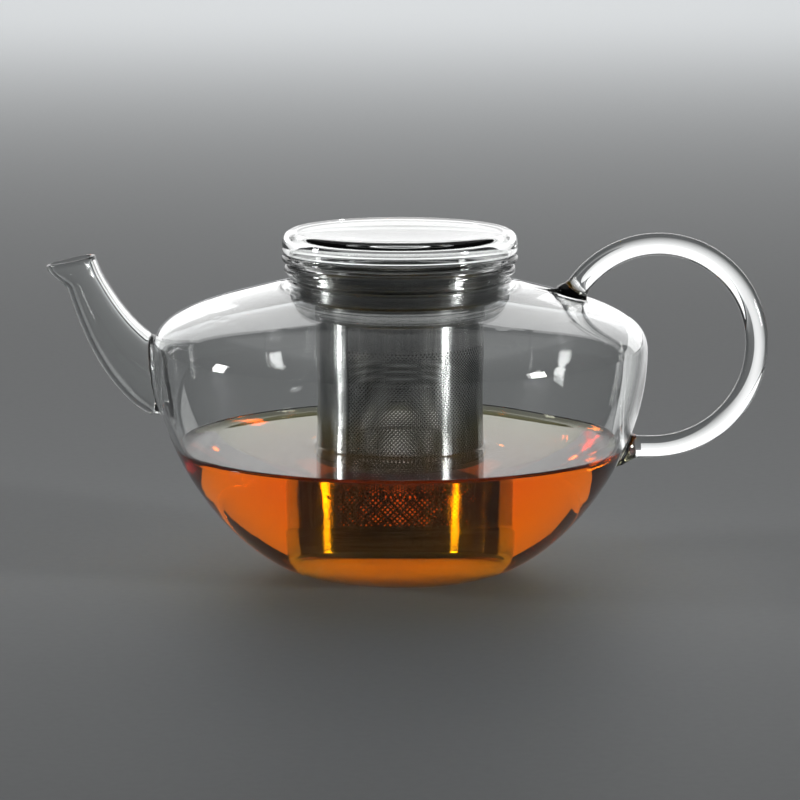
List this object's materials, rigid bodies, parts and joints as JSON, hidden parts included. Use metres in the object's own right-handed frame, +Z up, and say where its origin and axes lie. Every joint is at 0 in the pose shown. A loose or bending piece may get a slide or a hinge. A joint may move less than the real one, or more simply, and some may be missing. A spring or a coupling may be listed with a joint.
{
  "type": "teapot",
  "caption": "Wide glass teapot with a fused spout and looped rod handle, a lift-out perforated steel strainer and a hollow glass lid.",
  "frame": {"origin": "centre of the flat foot, on the surface the pot stands on", "axes": "+Z up along the pot's axis, +X towards the handle, -X towards the spout, -Y towards the front"},
  "size_m": [0.2507, 0.172, 0.1198],
  "materials": {
    "pot_glass": "polished",
    "lid_glass": "polished",
    "collar_steel": "satin",
    "sleeve_steel": "satin",
    "cup_steel": "satin",
    "tea": "polished"
  },
  "bodies": {
    "pot": {"pot_body": "pot_glass", "spout": "pot_glass", "handle": "pot_glass"},
    "strainer": {"strainer_collar": "collar_steel", "strainer_sleeve": "sleeve_steel", "strainer_cup": "cup_steel"},
    "lid": {"lid": "lid_glass"}
  },
  "joints": [
    {"name": "strainer_lift", "type": "slide", "parent": "pot", "child": "strainer", "axis": [0, 0, 1], "range_m": [0, 0.11]},
    {"name": "lid_lift", "type": "slide", "parent": "strainer", "child": "lid", "axis": [0, 0, 1], "range_m": [0, 0.06]}
  ]
}
